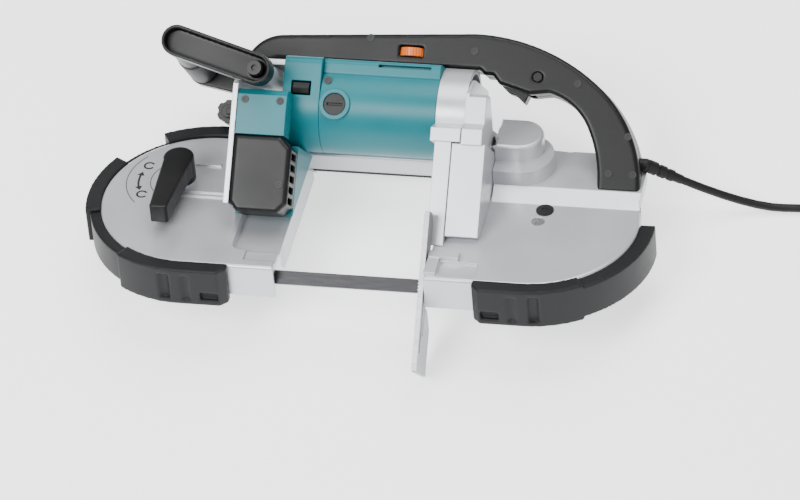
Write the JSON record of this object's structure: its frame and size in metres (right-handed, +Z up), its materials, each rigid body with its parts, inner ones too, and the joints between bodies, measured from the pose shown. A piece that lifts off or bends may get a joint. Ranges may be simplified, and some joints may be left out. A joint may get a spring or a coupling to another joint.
{
  "type": "horizontal band saw",
  "caption": "Corded hand-held band saw with a C-shaped body, rubber bumpers, motor, rear trigger handle, front grip, lamp, tension lever and sliding stop plate.",
  "frame": {"origin": "centre of the saw's footprint box on the bench, without its cord", "axes": "+X along the cut from the idler end to the handle end, +Y towards the back, +Z up from the bench"},
  "size_m": [0.7882, 0.3274, 0.1924],
  "materials": {
    "cast_paint": "satin silver paint on cast aluminium",
    "teal_plastic": "moulded teal plastic, satin",
    "black_plastic": "textured black plastic",
    "lever_black": "black nylon",
    "bumper_rubber": "dark moulded rubber",
    "tyre_rubber": "black rubber",
    "cord_rubber": "black rubber sheath",
    "grey_grip": "grey moulded grip",
    "orange_plastic": "orange plastic",
    "stop_steel": "bright plated steel",
    "blade_steel": "dark bimetal blade steel",
    "gear_steel": "ground steel",
    "wheel_aluminium": "cast aluminium",
    "inner_plastic": "glass-filled plastic",
    "brush_brass": "drawn brass",
    "carbon": "pressed carbon",
    "tube_glass": "white coated glass",
    "screw_black": "blackened steel"
  },
  "bodies": {
    "saw": {"blade_guides": "gear_steel", "brush_caps": "black_plastic", "brush_holders": "brush_brass", "bumper_left_front": "bumper_rubber", "bumper_left_rear": "bumper_rubber", "bumper_right_front": "bumper_rubber", "bumper_right_rear": "bumper_rubber", "carbon_brushes": "carbon", "case_screws": "screw_black", "clamp_knob": "black_plastic", "column_cover": "cast_paint", "cord_coil": "cord_rubber", "cord_guard": "cord_rubber", "drive_spindle": "gear_steel", "frame": "cast_paint", "front_grip": "grey_grip", "front_handle_bolt": "screw_black", "front_handle_far_arm": "black_plastic", "front_handle_near_arm": "black_plastic", "gear_cover": "cast_paint", "gear_housing": "cast_paint", "handle_front_half": "black_plastic", "handle_rear_half": "black_plastic", "lamp_cover": "teal_plastic", "lamp_housing": "black_plastic", "lamp_tube": "tube_glass", "motor_bracket": "cast_paint", "motor_end_cover": "teal_plastic", "motor_housing": "teal_plastic", "plug": "black_plastic", "power_cord": "cord_rubber", "saw_blade": "blade_steel", "shaft_bearings": "gear_steel", "stator": "gear_steel", "stop_plate_bolts": "stop_steel", "switch_body": "inner_plastic", "tension_spring": "gear_steel"},
    "drive_wheel_body": {"drive_wheel": "wheel_aluminium", "drive_tyre": "tyre_rubber", "drive_wheel_bearing": "gear_steel"},
    "carriage": {"idler_carriage": "gear_steel", "idler_spindle": "gear_steel"},
    "idler_wheel_body": {"idler_wheel": "wheel_aluminium", "idler_tyre": "tyre_rubber", "idler_wheel_bearing": "gear_steel"},
    "tension_lever_body": {"tension_lever": "lever_black", "tension_cam": "gear_steel"},
    "cross_shaft_body": {"cross_shaft": "gear_steel"},
    "reduction_shaft_body": {"reduction_shaft": "gear_steel"},
    "armature_body": {"armature": "gear_steel", "cooling_fan": "inner_plastic"},
    "face_roller_left_body": {"face_roller_left": "gear_steel"},
    "face_roller_right_body": {"face_roller_right": "gear_steel"},
    "back_roller_left_body": {"back_roller_left": "gear_steel"},
    "back_roller_right_body": {"back_roller_right": "gear_steel"},
    "trigger_body": {"trigger": "black_plastic"},
    "lock_button_body": {"lock_button": "black_plastic"},
    "dial_body": {"speed_dial": "orange_plastic"},
    "lamp_switch_body": {"lamp_switch": "black_plastic"},
    "stop_plate_body": {"stop_plate": "stop_steel"}
  },
  "joints": [
    {"name": "drive_wheel_spin", "type": "hinge", "parent": "saw", "child": "drive_wheel_body", "pos_m": [0.1542, -0.01602, 0.04833], "axis": [0, 0.2692, 0.9631], "continuous": true},
    {"name": "tension_lever_turn", "type": "hinge", "parent": "saw", "child": "tension_lever_body", "pos_m": [-0.178, 0.01709, 0.07023], "axis": [0, 0.2692, 0.9631], "range_deg": [-180, 0]},
    {"name": "carriage_slide", "type": "slide", "parent": "saw", "child": "carriage", "axis": [1, 0, 0], "range_m": [0, 0.0045]},
    {"name": "idler_wheel_spin", "type": "hinge", "parent": "carriage", "child": "idler_wheel_body", "pos_m": [-0.1582, -0.01602, 0.04833], "axis": [0, 0.2692, 0.9631], "continuous": true},
    {"name": "cross_shaft_spin", "type": "hinge", "parent": "saw", "child": "cross_shaft_body", "pos_m": [0.133, 0.05067, 0.04008], "axis": [0, 0.2692, 0.9631], "continuous": true},
    {"name": "reduction_shaft_spin", "type": "hinge", "parent": "saw", "child": "reduction_shaft_body", "pos_m": [0.09, 0.0594, 0.07132], "axis": [1, 0, 0], "continuous": true},
    {"name": "armature_spin", "type": "hinge", "parent": "saw", "child": "armature_body", "pos_m": [0, 0.08164, 0.08954], "axis": [1, 0, 0], "continuous": true},
    {"name": "face_roller_left_spin", "type": "hinge", "parent": "saw", "child": "face_roller_left_body", "pos_m": [-0.091, -0.09225, 0.06552], "axis": [0, 0.8713, 0.4907], "continuous": true},
    {"name": "face_roller_right_spin", "type": "hinge", "parent": "saw", "child": "face_roller_right_body", "pos_m": [0.091, -0.09225, 0.06552], "axis": [0, 0.8713, 0.4907], "continuous": true},
    {"name": "back_roller_left_spin", "type": "hinge", "parent": "saw", "child": "back_roller_left_body", "pos_m": [-0.081, -0.08559, 0.0757], "axis": [0, 0.4907, -0.8713], "continuous": true},
    {"name": "back_roller_right_spin", "type": "hinge", "parent": "saw", "child": "back_roller_right_body", "pos_m": [0.081, -0.08559, 0.0757], "axis": [0, 0.4907, -0.8713], "continuous": true},
    {"name": "trigger_pull", "type": "hinge", "parent": "saw", "child": "trigger_body", "pos_m": [0.108, 0.12768, 0.09481], "axis": [0, 0.4907, -0.8713], "range_deg": [-5, 0], "stiffness_Nm_per_rad": 6, "springref_deg": 5.16},
    {"name": "lock_button_press", "type": "slide", "parent": "saw", "child": "lock_button_body", "axis": [0, 0.4907, -0.8713], "range_m": [0, 0.0025], "stiffness_N_per_m": 1500, "springref_m": -0.002},
    {"name": "speed_dial_turn", "type": "hinge", "parent": "saw", "child": "dial_body", "pos_m": [0.022, 0.13514, 0.10704], "axis": [0, 0.8713, 0.4907], "range_deg": [-150, 150]},
    {"name": "lamp_switch_rock", "type": "hinge", "parent": "saw", "child": "lamp_switch_body", "pos_m": [-0.0675, 0.07472, 0.12466], "axis": [1, 0, 0], "range_deg": [-6, 6]},
    {"name": "stop_plate_adjust", "type": "slide", "parent": "saw", "child": "stop_plate_body", "axis": [0, 0.8713, 0.4907], "range_m": [0, 0.05]}
  ],
  "couplings": [
    {"joint": "carriage_slide", "follows": "tension_lever_turn", "m_per_rad": -0.00143},
    {"joint": "idler_wheel_spin", "follows": "drive_wheel_spin", "ratio": 1},
    {"joint": "cross_shaft_spin", "follows": "drive_wheel_spin", "ratio": 11.333},
    {"joint": "reduction_shaft_spin", "follows": "drive_wheel_spin", "ratio": -27.389},
    {"joint": "armature_spin", "follows": "drive_wheel_spin", "ratio": 130.1}
  ]
}
